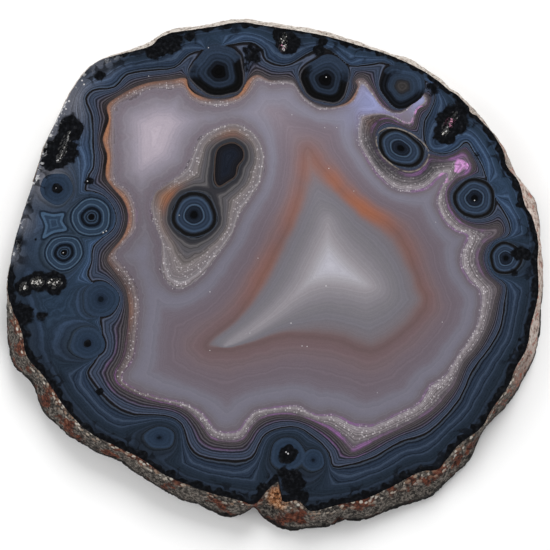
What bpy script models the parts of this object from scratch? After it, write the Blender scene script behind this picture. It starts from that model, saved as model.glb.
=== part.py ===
"""A slice of agate: one slab of banded chalcedony that keeps its natural skin.

The stone is a single natural piece. It was sawn flat at the back, and ground and
polished at the front. The side between the two cuts is the nodule's own rough skin:
it flares out below the polished face on the near side and falls almost straight on
the far side. A cleft runs down the near side, and a few small crystal pockets lie
open in the polished face.

X runs across the slab, Y from its near side to its far side, and Z from the sawn
back, at zero, to the polished face. Lengths are in millimetres until the mesh is made.
"""

import math

import bmesh
import bpy
from mathutils import Matrix, Vector, noise

MM = 0.001

# Slab
THICKNESS = 7.0
COLUMNS = 420
CURVE_STEPS = 8

# Depths of the rings down the side, as shares of the thickness
RING_DEPTHS = (0.03, 0.14, 0.3, 0.48, 0.66, 0.84, 1.0)
FLARE_POWER = 1.7
FAR_SIDE_BULGE = 0.5

# Lumps of the skin: height in or out, and distance from one to the next
LUMP_HEIGHT = 0.55
LUMP_SIZE = 4.2
GRAIN_HEIGHT = 0.22
GRAIN_SIZE = 1.5
BASE_LUMP_SHARE = 0.5

# Edge of the polished face, clockwise from the left
POLISHED_EDGE = (
    (-47.8, 20.1), (-46.4, 24.9), (-44, 30.2), (-41, 36.3), (-38, 40.5), (-35, 42.7),
    (-31, 43.9), (-27, 44.9), (-24.6, 45.8), (-23.6, 47), (-21, 48.2), (-17, 48.8),
    (-12, 49.6), (-7, 50.4), (-2, 49.7), (5, 48.6), (11, 47.4), (17, 45.6), (23, 43.7),
    (29, 40.9), (33, 38.3), (35, 36.5), (37, 35.2), (41, 30.8), (44, 27.4), (46, 23.7),
    (46.6, 20.9), (49, 17.7), (50.2, 13), (51.6, 10.6), (52.8, 5.6), (52.6, 1.5), (52.8, -3.1),
    (52.4, -6.8), (51.2, -11.2), (50.4, -15.7), (48.2, -19.7), (46.6, -23.5), (43.4, -28),
    (41.2, -31.8), (37, -35), (34, -38.5), (32.4, -40.3), (29, -40.7), (24.4, -43.1),
    (20, -45.3), (17, -46.4), (13, -47.2), (7.4, -48.6), (5.8, -47.6), (4.4, -46.4),
    (2, -46.8), (1.1, -46), (1, -43.9), (0.6, -42.7), (-0.6, -43.5), (-2, -44.9),
    (-3.2, -46.6), (-4.6, -47.2), (-8, -46.2), (-12.4, -45.1), (-18, -43.1), (-22.4, -41.1),
    (-27, -37.9), (-33, -35), (-37.6, -32.4), (-41.8, -28), (-45.6, -22.3), (-49.6, -17.5),
    (-50.6, -12.8), (-52.8, -7.4), (-53.6, -3.5), (-53, 1.5), (-51.6, 8), (-49.4, 15),
)

# Edge of the sawn back, clockwise from the far right
BACK_EDGE = (
    (44.6, 27.6), (47, 23.9), (49, 19.5), (52, 15.8), (53, 12), (53.6, 4.9), (54, -2.1),
    (53.6, -7.2), (53.2, -12.2), (52, -17.3), (49, -22.9), (47.4, -25.6), (44.2, -29),
    (41.2, -32.8), (39, -37.5), (35, -41.5), (31, -45), (25, -47), (22.4, -48), (18, -49.8),
    (14, -49.8), (10, -51), (2.4, -51.6), (-1.4, -49.8), (-3.2, -48), (-4.2, -47),
    (-6.8, -48.6), (-9.8, -49), (-15, -46.8), (-21, -44.6), (-25.8, -41.5), (-31, -38.1),
    (-37, -35.3), (-42.4, -32), (-46.4, -27.8), (-49, -22.1), (-52.4, -18.5), (-53.6, -14.7),
    (-54, -9.6), (-53.8, -4.4), (-52.8, 2.5), (-51.4, 9), (-49.2, 16), (-47.6, 21.1),
    (-45.8, 26.5), (-43.4, 31.8), (-40.4, 37.5), (-37.4, 41.5), (-34.6, 43.3), (-30.6, 44.7),
    (-26.8, 46.1), (-24, 47.9), (-21, 49.4), (-17, 50), (-12, 50.8), (-7, 51.6), (-2, 51),
    (5, 49.9), (12, 48.5), (17, 46.7), (23, 44.7), (27.8, 43), (33, 39.5), (35, 37.7),
    (37.4, 36), (41.4, 31.8),
)

# Crystal pockets in the polished face: centre, half length, half width, turn, depth
POCKETS = (
    ((-42.4, 24.9), 3.2, 0.7, 70, 0.8),
    ((1.7, 46.2), 1.9, 0.8, 85, 1.0),
    ((35.0, 29.6), 2.7, 0.9, 62, 1.2),
    ((-50.2, -3.5), 0.8, 0.7, 0, 0.8),
    ((-47.5, -2.5), 1.3, 1.0, 15, 1.1),
    ((-44.2, -2.7), 1.4, 0.9, 0, 1.1),
)


def smooth_loop(points, steps):
    """A closed curve through the points, as a list of points along it."""
    curve = []
    count = len(points)
    for i in range(count):
        before, start, end, after = (
            Vector(points[(i + k) % count]) for k in (-1, 0, 1, 2)
        )
        for step in range(steps):
            t = step / steps
            curve.append(
                0.5
                * (
                    2.0 * start
                    + (end - before) * t
                    + (2.0 * before - 5.0 * start + 4.0 * end - after) * t * t
                    + (3.0 * start - before - 3.0 * end + after) * t * t * t
                )
            )
    return curve


def reach_by_angle(points, columns):
    """How far the closed curve lies from the middle, in each of the columns' directions."""
    curve = sorted((math.atan2(p.y, p.x), p.length) for p in smooth_loop(points, CURVE_STEPS))
    first, last = curve[0], curve[-1]
    curve.insert(0, (last[0] - math.tau, last[1]))
    curve.append((first[0] + math.tau, first[1]))
    reach = []
    right = 1
    for column in range(columns):
        angle = -math.pi + math.tau * column / columns
        while curve[right][0] < angle:
            right += 1
        (a0, r0), (a1, r1) = curve[right - 1], curve[right]
        share = (angle - a0) / max(a1 - a0, 1e-9)
        reach.append(r0 + (r1 - r0) * share)
    return reach


def skin_lumps(place):
    """How far the skin stands out or in at a place on the side."""
    lump = noise.noise(place / LUMP_SIZE)
    grain = noise.noise(place / GRAIN_SIZE)
    return LUMP_HEIGHT * lump + GRAIN_HEIGHT * grain


def side_ring(mesh, depth, top_reach, back_reach):
    """One ring of vertices round the side, at a share of the way down."""
    z = THICKNESS * (1.0 - depth)
    flare = 1.0 - (1.0 - depth) ** FLARE_POWER
    lumpiness = math.sin(math.pi * min(depth, 0.5)) * (1.0 - (1.0 - BASE_LUMP_SHARE) * depth)
    ring = []
    for column in range(COLUMNS):
        angle = -math.pi + math.tau * column / COLUMNS
        outward = Vector((math.cos(angle), math.sin(angle), 0.0))
        far_side = max(0.0, outward.y)
        reach = top_reach[column] + (back_reach[column] - top_reach[column]) * flare
        reach += FAR_SIDE_BULGE * far_side * math.sin(math.pi * depth)
        place = outward * reach + Vector((0.0, 0.0, z))
        place += outward * skin_lumps(place) * lumpiness
        ring.append(mesh.verts.new(place * MM))
    return ring


def skinned_slab():
    """The slab: a flat polished face, rings down the rough side, and a flat back."""
    top_reach = reach_by_angle(POLISHED_EDGE, COLUMNS)
    back_reach = reach_by_angle(BACK_EDGE, COLUMNS)
    mesh = bmesh.new()
    rings = [side_ring(mesh, depth, top_reach, back_reach) for depth in (0.0, *RING_DEPTHS)]
    for upper, lower in zip(rings, rings[1:]):
        for column in range(COLUMNS):
            beside = (column + 1) % COLUMNS
            mesh.faces.new((upper[column], lower[column], lower[beside], upper[beside]))
    mesh.faces.new(rings[0])
    mesh.faces.new(reversed(rings[-1]))
    bmesh.ops.recalc_face_normals(mesh, faces=mesh.faces)
    return mesh


def pocket_cutters():
    """One squashed ball for each crystal pocket, half sunk in the polished face."""
    mesh = bmesh.new()
    for (x, y), half_length, half_width, turn, depth in POCKETS:
        place = Matrix.Translation(Vector((x, y, THICKNESS)) * MM)
        turned = Matrix.Rotation(math.radians(turn), 4, "Z")
        sizes = Matrix.Diagonal(Vector((half_length, half_width, depth, 1000.0)) * MM)
        bmesh.ops.create_icosphere(mesh, subdivisions=2, radius=1.0, matrix=place @ turned @ sizes)
    return mesh


def mesh_object(name, mesh, collection):
    """An object made from a finished mesh, in a collection."""
    data = bpy.data.meshes.new(name)
    mesh.to_mesh(data)
    mesh.free()
    made = bpy.data.objects.new(name, data)
    collection.objects.link(made)
    return made


def polished_agate():
    """The stone's overall colour and gloss."""
    material = bpy.data.materials.new("polished_agate")
    material.use_nodes = True
    surface = material.node_tree.nodes["Principled BSDF"]
    surface.inputs["Base Color"].default_value = (0.11, 0.12, 0.16, 1.0)
    surface.inputs["Roughness"].default_value = 0.12
    surface.inputs["Metallic"].default_value = 0.0
    return material


def new_collection(name):
    collection = bpy.data.collections.new(name)
    bpy.context.scene.collection.children.link(collection)
    return collection


for leftover in list(bpy.data.objects):
    bpy.data.objects.remove(leftover, do_unlink=True)

agate_parts = new_collection("agate_slice")
cutters = new_collection("cutters")

pockets = mesh_object("pocket_cutters", pocket_cutters(), cutters)
pockets.hide_render = True
pockets.display_type = "WIRE"
cutters.hide_render = True

agate_slice = mesh_object("agate_slice", skinned_slab(), agate_parts)
agate_slice.data.shade_smooth()
agate_slice.data.set_sharp_from_angle(angle=math.radians(35.0))
agate_slice.data.materials.append(polished_agate())
cut = agate_slice.modifiers.new("crystal_pockets", "BOOLEAN")
cut.operation = "DIFFERENCE"
cut.object = pockets
cut.solver = "EXACT"
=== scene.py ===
import math
import random

import bmesh
import bpy
import numpy as np
from mathutils import Matrix, Vector, noise


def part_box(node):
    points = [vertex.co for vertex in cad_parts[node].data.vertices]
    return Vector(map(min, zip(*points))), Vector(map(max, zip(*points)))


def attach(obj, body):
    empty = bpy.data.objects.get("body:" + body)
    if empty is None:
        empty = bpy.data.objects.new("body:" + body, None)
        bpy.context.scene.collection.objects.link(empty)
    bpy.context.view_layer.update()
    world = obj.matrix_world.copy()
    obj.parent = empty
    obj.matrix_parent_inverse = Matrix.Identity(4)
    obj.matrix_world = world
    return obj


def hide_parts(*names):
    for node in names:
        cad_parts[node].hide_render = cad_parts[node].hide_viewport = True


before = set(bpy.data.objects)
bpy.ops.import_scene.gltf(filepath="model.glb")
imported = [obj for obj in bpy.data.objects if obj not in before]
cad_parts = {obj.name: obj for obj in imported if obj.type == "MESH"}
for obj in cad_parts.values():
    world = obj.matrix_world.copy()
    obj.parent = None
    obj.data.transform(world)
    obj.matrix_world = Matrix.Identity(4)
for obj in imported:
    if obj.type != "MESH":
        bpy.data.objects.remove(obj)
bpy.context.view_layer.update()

# The view: straight in front of the near edge and almost overhead, through a long lens,
# so that the slab keeps its true outline. The width of the view is 550 pixels at 5 to a
# millimetre, and its middle lies a little nearer than the middle of the slab.
MM = 0.001
THICKNESS = 7.0
VIEW_WIDTH = 110.0
VIEW_MIDDLE = Vector((0.0, -1.1, THICKNESS)) * MM
VIEW_ELEVATION = math.radians(82.0)
VIEW_DISTANCE = 1.0

camera_data = bpy.data.cameras.new("overhead_camera")
camera_data.sensor_width = 36.0
camera_data.lens = camera_data.sensor_width * VIEW_DISTANCE / (VIEW_WIDTH * MM)
camera_data.clip_start = 0.05
camera = bpy.data.objects.new("overhead_camera", camera_data)
bpy.context.scene.collection.objects.link(camera)
view_line = Vector((0.0, -math.cos(VIEW_ELEVATION), math.sin(VIEW_ELEVATION)))
camera.location = VIEW_MIDDLE + view_line * VIEW_DISTANCE
camera.rotation_euler = (math.pi / 2 - VIEW_ELEVATION, 0.0, 0.0)
bpy.context.scene.camera = camera

# The slab: one slice of an agate nodule, about 108 mm across and 7 mm thick. The saw left
# a flat back and the polishing wheel a flat front. The side between them is the nodule's
# own rough skin, which flares out below the polished face on the near side.
FACE_CELL = 0.36
BACK_CELL = 1.2
SIDE_COLUMNS = 840
SIDE_RINGS = 20
CAD_COLUMNS = 420
CAD_LEVELS = (7.0, 6.79, 6.02, 4.9, 3.64, 2.38, 1.12, 0.0)
LEVEL_MARGIN = 0.1
EDGE_STEP = 0.5
RIM_CLEARANCE = 0.75
FLAT = 0.01
POLISHED_SLOT, SKIN_SLOT, BACK_SLOT = range(3)

# The relief of the skin and the scallops of the polished edge, in millimetres
SKIN_INSET = 0.12
LUMP_SIZE, LUMP_HEIGHT = 2.2, 0.28
GRAIN_SIZE, GRAIN_HEIGHT = 0.62, 0.42
PIT_SIZE, PIT_DEPTH = 1.5, 1.1
SCALLOP_DEPTH, EDGE_INSET = 0.16, 0.05

# Where pits start in the noise, the share of the side over which the relief fades in below
# the polished edge, and how finely that edge is scalloped
PIT_START = 0.25
RELIEF_FADE = 0.12
SCALLOP_FINENESS = 26.0


def measured_side():
    """How far the solid's side lies from the middle: a row for each level, a column per direction."""
    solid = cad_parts["agate_slice"].data
    places = np.empty(len(solid.vertices) * 3, np.float32)
    solid.vertices.foreach_get("co", places)
    places = places.reshape(-1, 3).astype(float) / MM
    turn = np.arctan2(places[:, 1], places[:, 0]) + math.pi
    column = np.rint(turn / math.tau * CAD_COLUMNS).astype(int) % CAD_COLUMNS
    reach = np.hypot(places[:, 0], places[:, 1])
    side = np.zeros((len(CAD_LEVELS), CAD_COLUMNS))
    for row, level in enumerate(CAD_LEVELS):
        near = np.abs(places[:, 2] - level) < LEVEL_MARGIN
        np.maximum.at(side[row], column[near], reach[near])
        found = np.flatnonzero(side[row])
        side[row] = np.interp(
            np.arange(CAD_COLUMNS), found, side[row][found], period=CAD_COLUMNS,
        )
    side[0] = np.maximum(side[0], side[1] - EDGE_STEP)
    return side


side_reach = measured_side()


def reach_at(angle, height):
    """How far the side lies from the middle, in one direction and at one height."""
    turn = (angle + math.pi) / math.tau * CAD_COLUMNS
    column = int(math.floor(turn))
    share = turn - column
    rows = (
        side_reach[:, column % CAD_COLUMNS] * (1.0 - share)
        + side_reach[:, (column + 1) % CAD_COLUMNS] * share
    )
    return float(np.interp(-height, [-level for level in CAD_LEVELS], rows))


def skin_grain(place, depth):
    """How far the fine grains of the skin stand in from the solid's side, in millimetres."""
    lumps = noise.fractal(place / LUMP_SIZE, 1.0, 2.1, 3) * LUMP_HEIGHT
    grains = abs(noise.noise(place / GRAIN_SIZE)) * GRAIN_HEIGHT
    pitted = noise.noise(place / PIT_SIZE + Vector((7.0, 3.0, 1.0)))
    pits = max(0.0, pitted - PIT_START) * PIT_DEPTH
    fade = min(1.0, depth / RELIEF_FADE)
    return (SKIN_INSET + lumps + pits - grains) * fade


def scalloped_ring(mesh):
    """The edge of the polished face, slightly scalloped, as a closed ring of edges."""
    corners = []
    for column in range(SIDE_COLUMNS):
        angle = -math.pi + math.tau * column / SIDE_COLUMNS
        reach = reach_at(angle, THICKNESS)
        around = Vector((math.cos(angle), math.sin(angle), 0.3)) * SCALLOP_FINENESS
        scallop = SCALLOP_DEPTH * abs(noise.noise(around))
        reach -= scallop + EDGE_INSET
        corners.append(mesh.verts.new(
            Vector((math.cos(angle) * reach, math.sin(angle) * reach, THICKNESS)) * MM
        ))
    face = mesh.faces.new(corners)
    ring = list(face.edges)
    mesh.faces.remove(face)
    return ring


slab_mesh = bmesh.new()
polished_edge = scalloped_ring(slab_mesh)
ring_edges = polished_edge
for ring in range(1, SIDE_RINGS + 1):
    depth = ring / SIDE_RINGS
    height = THICKNESS * (1.0 - depth)
    grown = bmesh.ops.extrude_edge_only(slab_mesh, edges=ring_edges)["geom"]
    ring_corners = {part for part in grown if isinstance(part, bmesh.types.BMVert)}
    ring_edges = [
        part for part in grown
        if isinstance(part, bmesh.types.BMEdge) and ring_corners.issuperset(part.verts)
    ]
    for corner in ring_corners:
        angle = math.atan2(corner.co.y, corner.co.x)
        reach = reach_at(angle, height)
        place = Vector((math.cos(angle) * reach, math.sin(angle) * reach, height))
        reach -= max(0.0, skin_grain(place, depth))
        corner.co = Vector((math.cos(angle) * reach, math.sin(angle) * reach, height)) * MM


def fill_with_cells(mesh, edges, height, cell):
    """Fills a flat ring of edges with square cells, and a narrow band of triangles round them."""
    low, high = (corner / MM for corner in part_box("agate_slice"))
    across = int((high.x - low.x) / cell)
    along = int((high.y - low.y) / cell)
    middle = Vector(((low.x + high.x) / 2, (low.y + high.y) / 2, height)) * MM
    half = Vector((across * cell / 2, along * cell / 2)) * MM
    made = bmesh.ops.create_grid(
        mesh, x_segments=across, y_segments=along, size=1.0,
        matrix=Matrix.Translation(middle) @ Matrix.Diagonal((half.x, half.y, 1.0, 1.0)),
    )["verts"]
    reach = np.array([
        [math.atan2(v.co.y, v.co.x), math.hypot(v.co.x, v.co.y)] for e in edges for v in e.verts
    ])
    reach = reach[np.argsort(reach[:, 0])]
    grid = np.array([(v.co.x, v.co.y) for v in made])
    limit = np.interp(
        np.arctan2(grid[:, 1], grid[:, 0]), reach[:, 0], reach[:, 1], period=math.tau,
    )
    outside = np.hypot(grid[:, 0], grid[:, 1]) > limit - cell * RIM_CLEARANCE * MM
    bmesh.ops.delete(mesh, geom=[v for v, out in zip(made, outside) if out], context="VERTS")
    kept = [v for v in made if v.is_valid]
    loose = [v for v in kept if len(v.link_faces) == 0]
    bmesh.ops.delete(mesh, geom=loose, context="VERTS")
    border = {e for v in kept if v.is_valid for e in v.link_edges if e.is_boundary}
    bmesh.ops.triangle_fill(
        mesh, use_beauty=True, use_dissolve=False, edges=list(border) + list(edges),
        normal=(0.0, 0.0, 1.0),
    )


fill_with_cells(slab_mesh, polished_edge, THICKNESS, FACE_CELL)
fill_with_cells(slab_mesh, ring_edges, 0.0, BACK_CELL)
bmesh.ops.recalc_face_normals(slab_mesh, faces=slab_mesh.faces)
for part in slab_mesh.faces:
    heights = [corner.co.z / MM for corner in part.verts]
    if min(heights) > THICKNESS - FLAT:
        part.material_index = POLISHED_SLOT
    elif max(heights) < FLAT:
        part.material_index = BACK_SLOT
    else:
        part.material_index = SKIN_SLOT
        part.smooth = True

# The growth bands: agate is laid down in thin layers from the wall of its hollow inwards,
# and round small eyes that grew from points on the wall. Each closed line below is one
# moment of that growth, in millimetres on the polished face.
SECOND_BAND = (
    (-37.4, 19.1), (-36.4, 20.9), (-36.4, 24.5), (-36.6, 28.6), (-37, 31.8), (-38.2, 34.6),
    (-36.6, 36.5), (-32.2, 37.1), (-29.8, 39.7), (-25, 40.5), (-20.2, 41.1), (-17.4, 43.7),
    (-14, 44.9), (-9.4, 45.8), (-5, 46.2), (-2.6, 44.7), (-1.8, 42.5), (1, 41.5), (3.4, 41.9),
    (6.2, 43.7), (10, 45.1), (13, 43.3), (15.4, 41.5), (19, 41.7), (22, 42.1), (25, 40.9),
    (28.6, 39.5), (31.2, 37.7), (32.2, 34.8), (31, 31.8), (30, 29.8), (30.2, 26.2),
    (31.6, 23.9), (34.4, 23.5), (36.8, 24.5), (38.4, 25.8), (39.8, 23.9), (41.6, 20.9),
    (43, 17.5), (44.6, 14), (46.2, 11.2), (47.2, 8.2), (46.2, 6.4), (43.8, 5.6), (42.6, 2.3),
    (43.8, -1.1), (46.2, -3.1), (45.8, -7.2), (45, -11.8), (42.6, -16.1), (39.4, -20.3),
    (36.8, -26), (33, -30.6), (29.8, -33.2), (25, -34.6), (20.2, -37.5), (15.4, -39.1),
    (11.6, -39.7), (10.6, -36.9), (8.2, -34.2), (4.4, -31.8), (0, -32.2), (-2.6, -34),
    (-4.6, -37.9), (-9, -38.5), (-15, -37.5), (-17.4, -35), (-18.6, -31.2), (-22, -29.4),
    (-28, -29.2), (-32, -27.4), (-35.4, -23.9), (-37.4, -20.7), (-35.4, -17.3), (-34.8, -13.2),
    (-35.2, -8.2), (-36, -4.1), (-37.6, -1.1), (-36.8, 1.5), (-36.6, 4.5), (-34.8, 6.4),
    (-32.4, 8.4), (-32, 11.2), (-33.8, 14.4), (-36.6, 15.7), (-38.2, 16.1),
)
CRUST_OUTER = (
    (-34, 20.9), (-33.8, 23.3), (-34.8, 26.2), (-34.2, 28.2), (-33.4, 30.6), (-34, 33),
    (-32.6, 34.6), (-28.8, 36.9), (-25.4, 38.1), (-21.4, 38.7), (-17.8, 39.1), (-17.4, 37.1),
    (-15.4, 35.5), (-11.4, 34.6), (-7.6, 35.5), (-5.6, 38.5), (-3.6, 39.7), (-1, 38.5),
    (3.4, 38.5), (5, 36.1), (7.4, 34), (10.2, 33), (13.2, 33.4), (15.2, 34.6), (16.6, 37.1),
    (16, 38.3), (17.6, 39.1), (19.4, 37.1), (21, 34.2), (23.2, 32.2), (25.4, 32.2), (27.8, 34),
    (29, 36.3), (30.6, 35.2), (30.4, 33.4), (28.6, 32.4), (27.6, 29), (25.4, 29.4),
    (22.8, 30.6), (20.8, 29.8), (19.8, 27.4), (20.6, 24.7), (22.2, 22.5), (24.6, 20.5),
    (27, 19.7), (29.2, 20.5), (30.8, 22.7), (33.6, 22.5), (36, 23.1), (38, 24.1), (39.8, 21.3),
    (39, 19.3), (36.4, 18.3), (34.6, 15.9), (35.2, 12.6), (37.4, 9.8), (40.6, 8.4),
    (43.2, 8.6), (44.8, 8.8), (44.8, 6.8), (42, 5.2), (41, 2.3), (42, -0.9), (44.6, -3.5),
    (44, -6.6), (42.8, -11), (40.6, -15.5), (37.6, -19.1), (35.8, -23.5), (32, -28),
    (27, -31.2), (21, -34), (17, -36.3), (15, -36.7), (13.2, -34.4), (10, -31.8), (6.2, -30),
    (2.4, -29.2), (-1.4, -29.6), (-4.2, -31.4), (-6.2, -34.2), (-9, -34.8), (-12.8, -34),
    (-15, -31), (-18.6, -27.8), (-25, -26.2), (-30.6, -23.7), (-32.2, -21.1), (-30.6, -17.7),
    (-29.8, -13.2), (-29.4, -8.6), (-30, -4.3), (-32.6, -0.1), (-33.8, 1.9), (-32.8, 3.9),
    (-30.6, 6.6), (-29.6, 10), (-30.2, 13.4), (-32.6, 16.5), (-34, 18.5),
)
CRUST_INNER = (
    (-32.4, 20.5), (-32.4, 26.2), (-32.6, 31.2), (-31.4, 33.6), (-28.4, 35.2), (-25, 36.7),
    (-21, 36.7), (-18.2, 36.9), (-17, 34.8), (-14.2, 33.4), (-10.6, 33.2), (-7, 34.2),
    (-4.8, 36.3), (-3.4, 38.5), (-0.6, 37.7), (3.6, 37.5), (5.6, 34.8), (8.6, 32.6),
    (13, 32.8), (16, 34.2), (17.4, 37.5), (19.2, 35.7), (21.8, 32.8), (25.2, 31.6),
    (27.4, 33.2), (29, 35.5), (30, 34.2), (28.2, 32.6), (27, 29.8), (24.2, 31), (21, 32),
    (17, 31.8), (16.4, 29.8), (16.4, 26.2), (18.2, 22.5), (21, 18.5), (24, 16.1), (27.4, 15.7),
    (30.4, 16.3), (32.2, 17.9), (33.4, 18.9), (34.4, 19.3), (34.3, 18.4),
    (33.4, 17), (32.8, 15.3), (32.4, 13.2), (33.8, 10), (36.2, 7.8), (38.6, 6.8),
    (37.2, 3.9), (37, 0.9), (38.6, -2.1), (40.6, -4.1), (41, -7.2), (39.8, -12.2), (37, -16.3),
    (33.8, -21.3), (30.8, -23.1), (28.6, -26.8), (25, -28.6), (21, -30.6), (18.2, -31.4),
    (15, -30.6), (12.2, -29.2), (8, -29.2), (4.4, -27.4), (-0.6, -27.8), (-4, -28.4),
    (-6, -30.6), (-7.8, -32.6), (-11.8, -32.2), (-14.4, -29), (-18, -27), (-24, -25.6),
    (-28.8, -23.7), (-30.6, -21.5), (-28.2, -17.7), (-27.6, -13.2), (-27.2, -7.2), (-28, -2.7),
    (-30.2, 0.5), (-32, 2.7), (-30.2, 5.4), (-28, 8.2), (-28, 12.4), (-29.6, 15.9),
    (-32, 17.7),
)
IRON_LINE = (
    (6.4, 24.5), (8.4, 21.3), (11, 18.5), (14, 15), (18, 11.8), (22, 9.4), (24.8, 6.4),
    (27, 1.9), (28.8, -2.9), (30, -6.4), (27.8, -10), (24, -13.4), (20, -15.9), (17, -15.5),
    (13, -13.8), (7, -13), (1, -13), (-4, -14.6), (-9, -15.7), (-13.4, -15.5), (-12.2, -13.6),
    (-8.6, -10.8), (-5.2, -6.8), (-2.4, -1.9), (0.4, 3.7), (3, 9), (4.8, 14.4), (5.8, 20.1),
)
PALE_CORE = (
    (10.6, 10.4), (12.6, 6.8), (16, 2.7), (19.6, -0.9), (21, -3.9), (18.2, -5.4), (13.4, -4.5),
    (9, -4.5), (4.6, -6.6), (-1, -10.8), (-7.4, -14.6), (-10.2, -15.3), (-5, -11.6),
    (0.2, -7.2), (3.8, -2.7), (6.2, 2.3), (8.6, 7),
)
ISLAND = (
    (-8.6, 29.8), (-6.2, 29.2), (-3.4, 27), (-2, 23.1), (-2.6, 18.1), (-5, 14), (-7, 11),
    (-8.6, 6.8), (-11.2, 3.1), (-13.8, -0.5), (-16.6, -3.1), (-19.4, -4.1), (-21.8, -2.7),
    (-23, 0.3), (-22.8, 4.9), (-24.2, 9), (-25, 12.4), (-24.2, 15.5), (-21.4, 17.7),
    (-18.2, 20.1), (-16.8, 22.9), (-15.6, 26), (-12.8, 28.4),
)
KIDNEY = (
    (-11.8, 24.1), (-10.4, 25.4), (-8.2, 25.8), (-6.4, 24.5), (-6.2, 22.5), (-7.4, 20.9),
    (-7.8, 18.9), (-9.4, 17.7), (-11.2, 16.7), (-12.2, 18.1), (-12.2, 21.3),
)

# Eyes: middle, half length, half width, turn in degrees, and the kind of its rings, which
# are 0 for a black outer ring, 1 for soft rings, 2 for blue rings, 3 for a dark eye and
# 4 for a dark eye with a grey-brown middle
EYES = (
    ((-16.2, 11.1), 4.6, 4.7, 0, 0),
    ((40.0, 14.4), 4.3, 4.2, 0, 0),
    ((-36.8, 10.6), 4.3, 4.2, 20, 2),
    ((-43.8, 16.4), 3.3, 3.2, 0, 1),
    ((-42.2, 3.4), 4.1, 3.7, 20, 2),
    ((-34.8, -6.0), 3.6, 3.6, 0, 1),
    ((-37.4, -14.8), 3.4, 3.2, 0, 1),
    ((-11.4, 40.2), 5.6, 5.3, 0, 3),
    ((10.2, 38.6), 5.0, 4.9, 0, 3),
    ((25.6, 37.2), 4.6, 4.2, -20, 4),
    ((25.2, 24.6), 5.1, 3.6, -33, 0),
    ((46.2, 2.3), 3.4, 3.4, 0, 0),
    ((2.5, -37.1), 3.4, 3.3, 0, 1),
    ((7.6, -38.3), 2.2, 2.2, 0, 1),
    ((-23.0, -33.8), 3.0, 2.2, 0, 1),
)

# A four-sided figure left between three eyes, and the pale line round the long eye
DIAMOND = (
    (-47, 11.6), (-44.5, 11.2), (-42.2, 11.4), (-42.6, 9.8), (-41.6, 8.0), (-44.3, 7.4), (-46.6, 6.2),
    (-46, 8.8),
)
PALE_LOOP = (
    (20.6, 26.6), (22, 28.2), (24.2, 28.4), (27, 27.4), (29.4, 25.6), (30.6, 23.7), (30, 21.7),
    (28.2, 20.3), (25.6, 20.3), (23.4, 21.7), (21.4, 23.7),
)

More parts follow.
